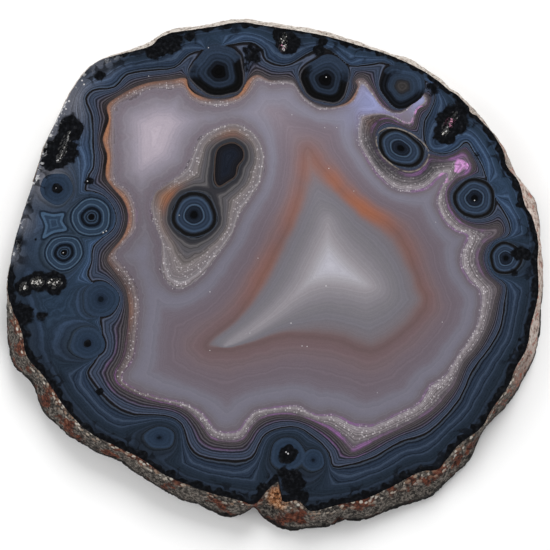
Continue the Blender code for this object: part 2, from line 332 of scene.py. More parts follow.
# Places where the layers take another colour: middle, reach, and how much
PLACES = {
    "orange": (
        ((-33.6, 29.0), 5.5, 1.0), ((-33.4, 22.0), 5.0, 1.0), ((-30.5, 14.0), 5.0, 0.7),
        ((-28.5, 8.0), 5.0, 0.6), ((-26.0, 37.5), 6.0, 0.4), ((-30.5, 3.0), 3.0, 0.3),
        ((-17.0, 36.5), 3.5, 0.9), ((-6.0, 36.5), 3.5, 0.9), ((15.5, 34.5), 3.0, 0.6),
        ((19.0, 31.5), 2.5, 0.6), ((-27.5, -8.0), 4.0, 0.35), ((-22.8, 15.5), 3.4, 1.0),
        ((-9.0, 27.5), 3.0, 0.4),
    ),
    "violet": (
        ((14.0, -33.0), 9.0, 1.0), ((20.0, -30.0), 5.0, 0.7), ((-10.0, -33.0), 6.0, 0.7),
        ((-22.0, -27.0), 9.0, 0.6), ((17.5, 19.5), 5.0, 0.6), ((36.5, 20.5), 5.0, 1.0),
        ((28.0, -26.0), 6.0, 0.45), ((24.0, 32.5), 5.0, 0.9), ((36.5, 9.0), 6.0, 0.8),
        ((0.0, -28.5), 6.0, 0.6), ((30.0, 34.0), 4.0, 0.7), ((-31.0, -20.0), 6.0, 0.7),
        ((31.0, 17.5), 5.0, 0.9), ((39.0, 1.0), 5.0, 0.5), ((-26.0, 12.0), 4.0, 0.3),
    ),
    "pale": (
        ((-24.0, 27.0), 11.5, 1.0), ((-3.0, 31.5), 7.0, 0.3), ((-1.0, 18.0), 6.0, 0.1),
        ((2.5, 34.0), 4.0, 0.2),
    ),
    "grey_rim": (
        ((-48.2, 19.8), 5.4, 1.0), ((-45.5, 27.5), 4.0, 0.6), ((-51.5, 10.0), 3.0, 0.9),
        ((-42.5, 35.0), 6.0, 1.0), ((-53.0, 3.0), 2.2, 0.7), ((-46.0, 29.0), 4.0, 0.9),
        ((-36.0, 42.5), 3.5, 0.6),
    ),
    "light_blue": (
        ((19.5, 34.0), 4.2, 1.0), ((29.5, 34.5), 3.0, 0.9), ((17.0, 31.5), 3.5, 0.4),
    ),
    "iron": (
        ((18.5, 13.0), 6.8, 0.9), ((12.0, 18.0), 4.0, 0.65), ((7.5, 20.5), 4.0, 0.4),
        ((26.0, 4.5), 5.5, 0.25), ((4.0, 12.0), 6.0, 0.4), ((-3.0, 0.0), 8.0, 0.35),
        ((29.0, -4.0), 5.0, 0.15),
    ),
    "pink": (
        ((37.2, 21.2), 1.2, 1.0), ((38.3, 20.9), 0.8, 0.9), ((36.5, 20.2), 0.8, 0.9),
        ((33.6, 18.6), 1.2, 0.8), ((29.0, 32.0), 1.5, 0.7), ((26.6, 30.8), 1.8, 0.5),
    ),
    "bright": (
        ((-45.0, 8.0), 9.0, 1.0), ((-38.0, 4.0), 9.0, 0.95), ((-42.0, -8.0), 8.0, 0.65),
        ((-38.0, 22.0), 8.0, 0.65), ((46.0, 16.0), 10.0, 0.7), ((39.0, 22.0), 8.0, 0.78),
        ((30.0, 38.0), 6.0, 0.6), ((46.0, 2.0), 6.0, 0.38), ((16.0, 46.0), 8.0, 0.5),
        ((-8.0, 47.0), 9.0, 0.5), ((-38.0, 38.0), 8.0, 0.55), ((-45.0, 32.0), 7.0, 0.5),
        ((-34.0, -14.0), 8.0, 0.3),
    ),
    "coal": (
        ((24.0, 25.0), 6.8, 1.0), ((30.0, 21.0), 4.0, 0.8), ((19.5, 21.0), 3.4, 0.8),
        ((21.0, 29.5), 3.4, 0.9), ((33.5, 22.0), 2.0, 0.5),
    ),
    "black": (
        ((-43.7, 16.5), 1.05, 0.9), ((-37.4, -14.9), 0.75, 0.85), ((-41.0, 28.6), 2.4, 1.0),
        ((-43.0, 23.8), 3.3, 1.0), ((-44.8, 21.8), 2.0, 0.9), ((2.6, 46.0), 2.3, 1.0),
        ((1.0, 48.0), 1.7, 0.8), ((35.6, 30.0), 3.0, 1.0), ((34.2, 27.6), 2.4, 0.9),
        ((-50.2, -3.5), 1.7, 1.0), ((-47.5, -2.5), 2.1, 1.0), ((-44.2, -2.7), 2.3, 1.0),
        ((-24.0, 45.3), 2.5, 0.9), ((-20.8, 46.2), 2.2, 0.9), ((-17.0, 47.4), 1.3, 0.6),
        ((-35.2, 39.6), 1.5, 0.6), ((8.8, 44.6), 1.4, 0.8), ((9.4, 46.2), 1.2, 0.6),
        ((-48.0, 6.0), 1.0, 0.3), ((48.8, 3.2), 1.6, 0.7), ((50.2, 3.0), 1.4, 0.7),
        ((47.6, -0.6), 1.2, 0.5), ((-37.0, 14.8), 1.0, 0.3), ((-37.5, 18.0), 1.2, 0.6),
        ((-35.0, -24.6), 0.9, 0.6), ((2.5, -37.1), 1.7, 1.0), ((-2.2, -44.4), 1.7, 0.7),
        ((3.7, -42.6), 2.3, 1.0), ((1.6, -40.9), 1.4, 0.7), ((5.0, -45.6), 1.8, 0.7),
        ((-46.6, -9.4), 1.7, 0.5), ((-50.5, -9.0), 2.4, 0.8), ((-4.5, 43.8), 2.6, 0.55),
        ((-5.5, 41.0), 1.8, 0.4), ((32.0, 36.6), 2.0, 0.5), ((37.5, 33.0), 2.5, 0.6),
        ((40.5, 23.0), 1.6, 0.4), ((-51.8, 16.0), 1.3, 0.4),
    ),
}
CURVE_STEPS = 3
CORE_DEPTH = 4.0
KIDNEY_DEPTH = 2.5
GAP_LIMIT = 6.0
PLACE_FALL = 0.9


def smooth_loop(points):
    """A closed curve through the points of one growth line."""
    corners = np.array(points, float)
    before, after, beyond = (np.roll(corners, shift, axis=0) for shift in (1, -1, -2))
    parts = []
    for step in range(CURVE_STEPS):
        t = step / CURVE_STEPS
        parts.append(
            0.5 * (
                2.0 * corners
                + (after - before) * t
                + (2.0 * before - 5.0 * corners + 4.0 * after - beyond) * t ** 2
                + (3.0 * corners - before - 3.0 * after + beyond) * t ** 3
            )
        )
    return np.stack(parts, axis=1).reshape(-1, 2)


def distance_and_inside(places, points):
    """How far each place lies from a closed growth line, and whether the line goes round it."""
    loop = smooth_loop(points)
    nearest = np.full(len(places), np.inf)
    inside = np.zeros(len(places), bool)
    for start, end in zip(loop, np.roll(loop, -1, axis=0)):
        run = end - start
        share = np.clip(((places - start) @ run) / max(run @ run, 1e-9), 0.0, 1.0)
        gap = places - start - share[:, None] * run
        nearest = np.minimum(nearest, (gap * gap).sum(1))
        crosses = (start[1] > places[:, 1]) != (end[1] > places[:, 1])
        rise = end[1] - start[1] if end[1] != start[1] else 1e-9
        inside ^= crosses & (places[:, 0] < start[0] + run[0] * (places[:, 1] - start[1]) / rise)
    return np.sqrt(nearest), inside


def signed_gap(places, points):
    """The distance from a closed line, below zero inside it, no more than the limit."""
    gap, inside = distance_and_inside(places, points)
    return np.clip(np.where(inside, -gap, gap), -GAP_LIMIT, GAP_LIMIT)


def eye_fields(places):
    """Where places lie in the nearest eye.

    First the share of the way out of it, then the distance to its edge, its kind, and its
    side, which is 1 towards the middle of the slab and -1 towards the rim.
    """
    share = np.full(len(places), 9.0)
    gap = np.full(len(places), np.inf)
    kind = np.zeros(len(places))
    side = np.zeros(len(places))
    for number, ((x, y), half_length, half_width, turn, eye_kind) in enumerate(EYES):
        angle = math.radians(turn)
        dx, dy = places[:, 0] - x, places[:, 1] - y
        along = (dx * math.cos(angle) + dy * math.sin(angle)) / half_length
        aside = (-dx * math.sin(angle) + dy * math.cos(angle)) / half_width
        out = np.hypot(along, aside)
        round_it = np.arctan2(aside, along)
        sway = 2.0 if eye_kind > 2 else 1.0
        out *= 1.0 + sway * (
            0.03 * np.sin(3.0 * round_it + number) + 0.02 * np.sin(5.0 * round_it + 2 * number)
        )
        kind[out < share] = eye_kind
        inward = -(dx * x + dy * y) / np.maximum(np.hypot(dx, dy) * math.hypot(x, y), 1e-6)
        side[out < share] = inward[out < share]
        share = np.minimum(share, out)
        gap = np.minimum(gap, (out - 1.0) * half_width)
    return share, gap, kind, side


def spread(places, spots):
    """A soft patch round each spot, from 0 to 1."""
    total = np.zeros(len(places))
    for (x, y), reach, amount in spots:
        away = np.hypot(places[:, 0] - x, places[:, 1] - y) / reach
        total = np.maximum(total, amount * np.exp(-away ** 2 * PLACE_FALL))
    return total


def share_between(start, end):
    """The share of the way from one line to the next, from the distances to both."""
    return start / np.maximum(start + end, 1e-6)


slab_mesh.verts.ensure_lookup_table()
corners = np.array([v.co[:] for v in slab_mesh.verts]) / MM
face_places = corners[:, :2]
rim = np.array([(v.co.x, v.co.y) for e in polished_edge for v in e.verts]) / MM
rim_turn = np.arctan2(rim[:, 1], rim[:, 0])
rim_order = np.argsort(rim_turn)
rim_reach = np.interp(
    np.arctan2(face_places[:, 1], face_places[:, 0]), rim_turn[rim_order],
    np.hypot(rim[:, 0], rim[:, 1])[rim_order], period=math.tau,
)
rim_gap = np.maximum(rim_reach - np.hypot(face_places[:, 0], face_places[:, 1]), 0.0)

eye_share, eye_gap, eye_kind, eye_side = eye_fields(face_places)
beside_eye = np.maximum(eye_gap, 0.0)
second_gap, in_second = distance_and_inside(face_places, SECOND_BAND)
outer_gap, in_outer = distance_and_inside(face_places, CRUST_OUTER)
inner_gap, in_inner = distance_and_inside(face_places, CRUST_INNER)
iron_gap, in_iron = distance_and_inside(face_places, IRON_LINE)
core_gap, in_core = distance_and_inside(face_places, PALE_CORE)
island_gap, in_island = distance_and_inside(face_places, ISLAND)
kidney_gap, in_kidney = distance_and_inside(face_places, KIDNEY)

growth = share_between(np.minimum(rim_gap, beside_eye), second_gap)
from_second = share_between(np.minimum(second_gap, beside_eye), outer_gap)
growth = np.where(in_second, 1.0 + from_second, growth)
growth = np.where(in_outer, 2.0 + share_between(outer_gap, inner_gap), growth)
from_inner = share_between(np.minimum(inner_gap, island_gap), iron_gap)
growth = np.where(in_inner, 3.0 + from_inner, growth)
growth = np.where(in_iron, 4.0 + share_between(iron_gap, core_gap), growth)
growth = np.where(in_core, 5.0 + np.minimum(core_gap / CORE_DEPTH, 1.0), growth)
island = share_between(island_gap, np.minimum(kidney_gap, beside_eye))
island = np.where(in_kidney, 1.0 + np.minimum(kidney_gap / KIDNEY_DEPTH, 1.0), island)
island = np.where(in_island, island, -1.0)

fields = {
    "growth": growth,
    "rim_gap": rim_gap,
    "inner_gap": np.minimum(inner_gap, island_gap),
    "eye_share": np.minimum(eye_share, 3.0),
    "eye_kind": eye_kind,
    "eye_side": eye_side,
    "diamond": signed_gap(face_places, DIAMOND),
    "pale_loop": signed_gap(face_places, PALE_LOOP),
    "island": island,
}
for name, spots in PLACES.items():
    fields[name] = spread(face_places, spots)

# The pockets: small hollows that the growing agate left open, dark inside, and cut open by
# the saw. They are pressed into the polished face of the mesh. Each is given by its middle,
# half length, half width, turn in degrees and depth.
POCKETS = (
    ((-42.4, 24.9), 3.2, 0.7, 70, 0.8),
    ((1.7, 46.2), 1.9, 0.8, 85, 1.0),
    ((35.0, 29.6), 2.7, 0.9, 62, 1.2),
    ((-50.2, -3.5), 0.8, 0.7, 0, 0.8),
    ((-47.5, -2.5), 1.3, 1.0, 15, 1.1),
    ((-44.2, -2.7), 1.4, 0.9, 0, 1.1),
)
POCKET_GRAIN = 0.7


def pocket_depth(x, y):
    """How deep the pockets are at a place on the polished face."""
    deepest = 0.0
    for (middle_x, middle_y), half_length, half_width, turn, depth in POCKETS:
        angle = math.radians(turn)
        dx, dy = x - middle_x, y - middle_y
        along = (dx * math.cos(angle) + dy * math.sin(angle)) / half_length
        aside = (-dx * math.sin(angle) + dy * math.cos(angle)) / half_width
        left = 1.0 - along * along - aside * aside
        if left > 0.0:
            deepest = max(deepest, depth * math.sqrt(left))
    return deepest


for corner in slab_mesh.verts:
    if corner.co.z > (THICKNESS - 0.001) * MM:
        depth = pocket_depth(corner.co.x / MM, corner.co.y / MM)
        uneven = 0.9 + 0.2 * noise.noise(corner.co / (POCKET_GRAIN * MM))
        corner.co.z -= depth * uneven * MM

# The cut faces: thin coloured layers of chalcedony, ground and polished in front and left
# as sawn behind. Their colour is worked out at each place from the fields above, which the
# slab carries as attributes, and from noise where the layers are too fine to draw.
LIGHT_SHARE = 0.88


def tone(red, green, blue):
    """The light a place must give back to look, under these lamps, like a colour from 0 to 255."""
    shown = [((c / 255.0 + 0.055) / 1.055) ** 2.4 * LIGHT_SHARE for c in (red, green, blue)]
    return (*shown, 1.0)


class Finish:
    """The nodes of one material, added in the order in which its colour is built up."""

    def __init__(self, name):
        self.material = bpy.data.materials.new(name)
        self.material.use_nodes = True
        self.tree = self.material.node_tree
        self.surface = self.tree.nodes["Principled BSDF"]
        self.coordinates = None

    def add(self, kind, settings=(), inputs=()):
        """A new node, with its settings and with what goes into its sockets."""
        node = self.tree.nodes.new(kind)
        for name, value in settings:
            setattr(node, name, value)
        for socket, value in inputs:
            self.plug(node.inputs[socket], value)
        return node

    def plug(self, socket, value):
        """Puts a number, a colour or another node's output into a socket."""
        if isinstance(value, bpy.types.NodeSocket):
            self.tree.links.new(value, socket)
        else:
            socket.default_value = value

    def here(self):
        """The place in the slab, in metres, from one node that the others share."""
        if self.coordinates is None:
            self.coordinates = self.add("ShaderNodeTexCoord").outputs["Object"]
        return self.coordinates

    def field(self, name):
        """A value that the slab carries at each of its corners."""
        return self.add("ShaderNodeAttribute", [("attribute_name", name)]).outputs["Fac"]

    def along(self, axis):
        """How far a place lies along X, Y or Z, for axis 0, 1 or 2, in metres."""
        return self.add("ShaderNodeSeparateXYZ", (), [(0, self.here())]).outputs[axis]

    def away_from(self, point):
        """How far a place lies from a point that is given in millimetres."""
        return self.add("ShaderNodeVectorMath", [("operation", "DISTANCE")], [
            (0, self.here()), (1, Vector(point) * MM),
        ]).outputs["Value"]

    def reckon(self, operation, *values, clamp=False):
        """One step of arithmetic."""
        node = self.add("ShaderNodeMath", [("operation", operation), ("use_clamp", clamp)])
        for socket, value in zip(node.inputs, values):
            self.plug(socket, value)
        return node.outputs[0]

    def times(self, first, *others):
        """Values multiplied together."""
        product = first
        for value in others:
            product = self.reckon("MULTIPLY", product, value)
        return product

    def added(self, value, share, base):
        """A base with a share of a value added to it."""
        return self.reckon("MULTIPLY_ADD", value, share, base)

    def larger(self, first, second):
        """The larger of two values."""
        return self.reckon("MAXIMUM", first, second)

    def fit(self, value, low, high, to_low=0.0, to_high=1.0):
        """Turns the run of values from low to high into another run, with soft ends."""
        node = self.add("ShaderNodeMapRange", [("interpolation_type", "SMOOTHSTEP")])
        for name, given in (
            ("Value", value), ("From Min", low), ("From Max", high),
            ("To Min", to_low), ("To Max", to_high),
        ):
            self.plug(node.inputs[name], given)
        return node.outputs["Result"]

    def ramp(self, value, stops):
        """A run of colours along a value; each stop is its place and its colour."""
        node = self.add("ShaderNodeValToRGB")
        self.plug(node.inputs["Fac"], value)
        elements = node.color_ramp.elements
        while len(elements) < len(stops):
            elements.new(1.0)
        for element, (place, colour) in zip(elements, stops):
            element.position = place
        for element, (place, colour) in zip(elements, stops):
            element.color = tone(*colour)
        return node.outputs["Color"]

    def blend(self, share, first, second, way="MIX"):
        """A share of the second colour laid over the first."""
        node = self.add("ShaderNodeMix", [("data_type", "RGBA"), ("blend_type", way)])
        self.plug(node.inputs[0], share)
        self.plug(node.inputs[6], first)
        self.plug(node.inputs[7], second)
        return node.outputs[2]

    def tinted(self, colour, tint):
        """A colour multiplied by another."""
        return self.blend(1.0, colour, tint, "MULTIPLY")

    def grey(self, value):
        """A grey as light as a value."""
        return self.add("ShaderNodeCombineColor", (), [(n, value) for n in range(3)]).outputs[0]

    def cloud(self, scale, detail=3.0, rough=0.5):
        """Soft noise in the stone."""
        return self.add("ShaderNodeTexNoise", (), [
            ("Vector", self.here()), ("Scale", scale), ("Detail", detail), ("Roughness", rough),
        ]).outputs["Fac"]

    def layers(self, value, scale, detail, rough):
        """Soft noise that changes with a value alone, so that it makes lines where it is equal."""
        return self.add("ShaderNodeTexNoise", [("noise_dimensions", "1D")], [
            ("W", value), ("Scale", scale), ("Detail", detail), ("Roughness", rough),
        ]).outputs["Fac"]

    def grains(self, scale):
        """Round cells: how far a place lies from its cell's middle, and the cell's random colour."""
        return self.add("ShaderNodeTexVoronoi", (), [("Vector", self.here()), ("Scale", scale)])

    def cell_value(self, cells, channel):
        """A random value from 0 to 1 that is the same all over a cell."""
        return self.add("ShaderNodeSeparateColor", (), [(0, cells.outputs["Color"])]).outputs[channel]


# Runs of colours through the layers, each stop given by its place and by its red, green and
# blue from 0 to 255. The zones run inwards from one growth line to the next, and the eyes
# from their middles outwards.
BLUE_BANDS = (
    (0.0, (46, 52, 60)), (0.07, (30, 35, 42)), (0.12, (42, 49, 60)), (0.2, (37, 44, 55)),
    (0.26, (52, 62, 78)), (0.3, (34, 41, 51)), (0.4, (42, 52, 65)), (0.48, (38, 47, 60)),
    (0.53, (56, 67, 84)), (0.57, (41, 50, 64)), (0.66, (47, 57, 74)), (0.72, (68, 80, 99)),
    (0.76, (44, 54, 71)), (0.84, (47, 57, 74)), (0.9, (35, 42, 54)), (0.95, (66, 74, 88)),
    (0.975, (33, 34, 38)), (1.0, (26, 24, 25)),
)
DARK_BANDS = (
    (0.0, (26, 24, 25)), (0.07, (34, 34, 38)), (0.12, (74, 82, 100)), (0.18, (46, 53, 67)),
    (0.27, (64, 74, 94)), (0.34, (42, 48, 60)), (0.4, (68, 75, 94)), (0.45, (28, 30, 38)),
    (0.51, (48, 50, 62)), (0.56, (84, 84, 98)), (0.6, (54, 52, 60)), (0.66, (32, 31, 35)),
    (0.73, (84, 80, 88)), (0.78, (44, 41, 44)), (0.84, (58, 55, 60)), (0.88, (98, 92, 96)),
    (0.93, (44, 41, 43)), (1.0, (84, 79, 83)),
)
CRUST_BANDS = (
    (0.0, (84, 79, 83)), (0.06, (66, 61, 65)), (0.13, (102, 96, 100)), (0.2, (84, 79, 83)),
    (0.3, (108, 102, 107)), (0.38, (128, 121, 126)), (0.5, (122, 115, 119)), (0.62, (137, 130, 134)),
    (0.78, (148, 141, 146)), (0.88, (150, 143, 150)), (0.93, (112, 101, 114)), (0.96, (138, 129, 140)),
    (1.0, (106, 99, 108)),
)
ORANGE_BANDS = (
    (0.0, (28, 24, 24)), (0.05, (40, 32, 30)), (0.11, (120, 84, 66)), (0.22, (166, 116, 86)),
    (0.4, (160, 114, 88)), (0.52, (136, 100, 86)), (0.64, (112, 92, 88)), (0.72, (138, 118, 112)),
    (0.79, (108, 90, 92)), (0.88, (126, 112, 116)), (0.94, (146, 134, 136)), (1.0, (114, 104, 110)),
)
HEART_BANDS = (
    (0.0, (104, 97, 105)), (0.03, (96, 88, 96)), (0.07, (112, 107, 116)), (0.14, (116, 113, 126)),
    (0.25, (116, 113, 125)), (0.34, (110, 102, 112)), (0.45, (109, 99, 108)), (0.6, (110, 98, 106)),
    (0.75, (113, 98, 103)), (0.85, (111, 93, 97)), (0.95, (107, 89, 91)), (1.0, (107, 89, 91)),
)
INNER_BANDS = (
    (0.0, (107, 89, 91)), (0.08, (112, 98, 101)), (0.2, (114, 107, 113)), (0.4, (115, 112, 120)),
    (0.65, (119, 116, 122)), (0.85, (129, 125, 132)), (1.0, (137, 133, 139)),
)
CORE_BANDS = (
    (0.0, (137, 133, 139)), (0.3, (148, 143, 149)), (0.6, (162, 159, 165)), (1.0, (180, 178, 188)),
)
EYE_BANDS = (
    (0.0, (8, 9, 10)), (0.15, (10, 11, 14)), (0.2, (22, 27, 36)), (0.3, (30, 37, 49)),
    (0.38, (23, 28, 38)), (0.44, (72, 90, 112)), (0.48, (30, 38, 50)), (0.56, (48, 60, 79)),
    (0.64, (36, 46, 61)), (0.72, (62, 78, 100)), (0.79, (38, 44, 54)), (0.85, (19, 19, 20)),
    (0.94, (22, 21, 21)), (0.98, (40, 44, 52)), (1.0, (66, 78, 94)),
)
SOFT_EYE_BANDS = (
    (0.0, (12, 14, 18)), (0.13, (19, 26, 35)), (0.24, (33, 44, 60)), (0.42, (39, 52, 70)),
    (0.5, (37, 50, 67)), (0.6, (42, 56, 75)), (0.68, (38, 51, 68)), (0.82, (42, 55, 73)),
    (0.92, (49, 64, 84)), (0.96, (39, 51, 68)), (1.0, (42, 55, 73)),
)
BLUE_EYE_BANDS = (
    (0.0, (9, 9, 10)), (0.15, (11, 11, 13)), (0.19, (52, 66, 84)), (0.24, (14, 17, 23)),
    (0.31, (56, 72, 92)), (0.36, (20, 26, 35)), (0.45, (12, 15, 20)), (0.51, (32, 43, 58)),
    (0.56, (44, 59, 78)), (0.61, (72, 92, 113)), (0.66, (38, 51, 68)), (0.74, (46, 62, 82)),
    (0.81, (36, 48, 64)), (0.86, (80, 101, 122)), (0.9, (34, 46, 62)), (0.96, (22, 28, 38)),
    (1.0, (46, 62, 82)),
)
DARK_EYE_BANDS = (
    (0.0, (7, 7, 7)), (0.24, (9, 9, 11)), (0.31, (26, 31, 40)), (0.38, (18, 22, 29)),
    (0.44, (44, 55, 71)), (0.5, (30, 38, 50)), (0.57, (40, 50, 66)), (0.63, (22, 26, 33)),
    (0.69, (11, 12, 13)), (0.8, (14, 14, 15)), (0.88, (10, 10, 11)), (0.93, (30, 30, 33)),
    (0.96, (74, 74, 80)), (1.0, (34, 33, 36)),
)
DARK_EYE_RIMWARD = DARK_EYE_BANDS[:6] + (
    (0.57, (42, 53, 70)), (0.66, (34, 43, 57)),
    (0.74, (52, 66, 86)), (0.8, (38, 48, 63)), (0.9, (46, 58, 76)), (1.0, (40, 50, 65)),
)
BROWN_EYE_BANDS = (
    (0.0, (58, 56, 56)), (0.2, (54, 52, 53)), (0.3, (42, 43, 47)), (0.38, (40, 48, 60)),
    (0.5, (44, 56, 73)), (0.6, (38, 48, 63)), (0.67, (24, 29, 38)), (0.76, (13, 14, 17)),
    (0.84, (22, 25, 31)), (0.92, (12, 13, 15)), (1.0, (24, 24, 27)),
)
BROWN_EYE_RIMWARD = BROWN_EYE_BANDS[:4] + (
    (0.5, (46, 59, 77)), (0.64, (40, 51, 67)), (0.76, (52, 67, 88)), (0.88, (42, 54, 71)),
    (1.0, (40, 50, 65)),
)
ISLAND_BANDS = (
    (0.0, (104, 97, 105)), (0.035, (146, 140, 144)), (0.07, (116, 108, 112)),
    (0.13, (134, 129, 133)), (0.22, (118, 111, 115)), (0.32, (123, 116, 118)),
    (0.45, (108, 102, 102)), (0.52, (98, 93, 95)), (0.6, (88, 86, 91)), (0.7, (76, 74, 77)),
    (0.77, (86, 84, 86)), (0.84, (56, 55, 60)), (0.92, (44, 45, 50)), (0.97, (64, 66, 72)),
    (1.0, (24, 24, 26)),
)
ISLAND_ORANGE = (
    (0.0, (104, 97, 105)), (0.05, (136, 126, 128)), (0.1, (98, 84, 82)), (0.25, (120, 98, 90)),
    (0.45, (138, 98, 76)), (0.6, (146, 94, 66)), (0.72, (112, 78, 62)), (0.8, (56, 50, 52)),
    (0.9, (64, 68, 76)), (1.0, (24, 24, 26)),
)
KIDNEY_BANDS = (
    (0.0, (58, 48, 44)), (0.06, (70, 60, 56)), (0.12, (22, 22, 26)), (0.4, (28, 29, 35)),
    (0.7, (27, 31, 41)), (1.0, (28, 32, 42)),
)

COAL_GRAINS = ((0.35, (30, 31, 35)), (0.5, (48, 49, 54)), (0.6, (62, 62, 66)), (0.7, (104, 98, 94)))
BLACK_GRAINS = ((0.3, (6, 7, 8)), (0.5, (13, 14, 17)), (0.62, (24, 26, 30)), (0.75, (44, 44, 46)))

# Tints of the blue layers, from dull to bright, and of the crust on the left
DULL_BLUE = (0.77, 0.81, 0.83, 1.0)
BRIGHT_BLUE = (1.42, 1.76, 2.02, 1.0)
BROWN_CRUST = (0.62, 0.57, 0.55, 1.0)
UNCHANGED = (1.0, 1.0, 1.0, 1.0)

# Added to the way into the eyes and the island, so that their fine layers are their own
EYE_LAYERS = 20.0
ISLAND_LAYERS = 40.0

# White specks in the stone: place across and along, and reach, in millimetres
SPECKS = (
    (3.4, 31.4, 0.12), (10.0, 28.8, 0.11), (12.4, 28.8, 0.11), (10.8, 20.5, 0.14),
    (10.2, -3.3, 0.17), (3.2, -10.8, 0.16), (5.4, -15.4, 0.14), (6.4, -15.5, 0.14),
    (-3.4, 2.3, 0.11), (-5.0, -12.8, 0.11), (-13.0, -4.5, 0.14), (-13.0, -16.3, 0.12),
    (15.8, 15.9, 0.11), (33.4, -10.6, 0.11), (32.2, 9.6, 0.09), (-34.4, 7.5, 0.2),
    (-33.8, 7.8, 0.17), (-25.4, 39.3, 0.12), (-13.4, 45.1, 0.14), (2.6, -37.0, 0.23),
    (2.2, -36.7, 0.19), (40.0, 14.0, 0.16), (10.3, 39.1, 0.16), (-38.8, 38.4, 0.23),
    (-37.6, 17.9, 0.16), (-41.4, 34.2, 0.28), (-42.0, 32.6, 0.23), (-43.4, 31.0, 0.23),
    (-38.4, 37.6, 0.23), (-19.2, 11.0, 0.12), (20.4, -24.8, 0.09), (31.0, -26.0, 0.11),
    (-42.4, 3.4, 0.14), (-43.9, 16.5, 0.11),
)

# The share of a speck's reach over which it is at its whitest
SPECK_MIDDLE = 0.4


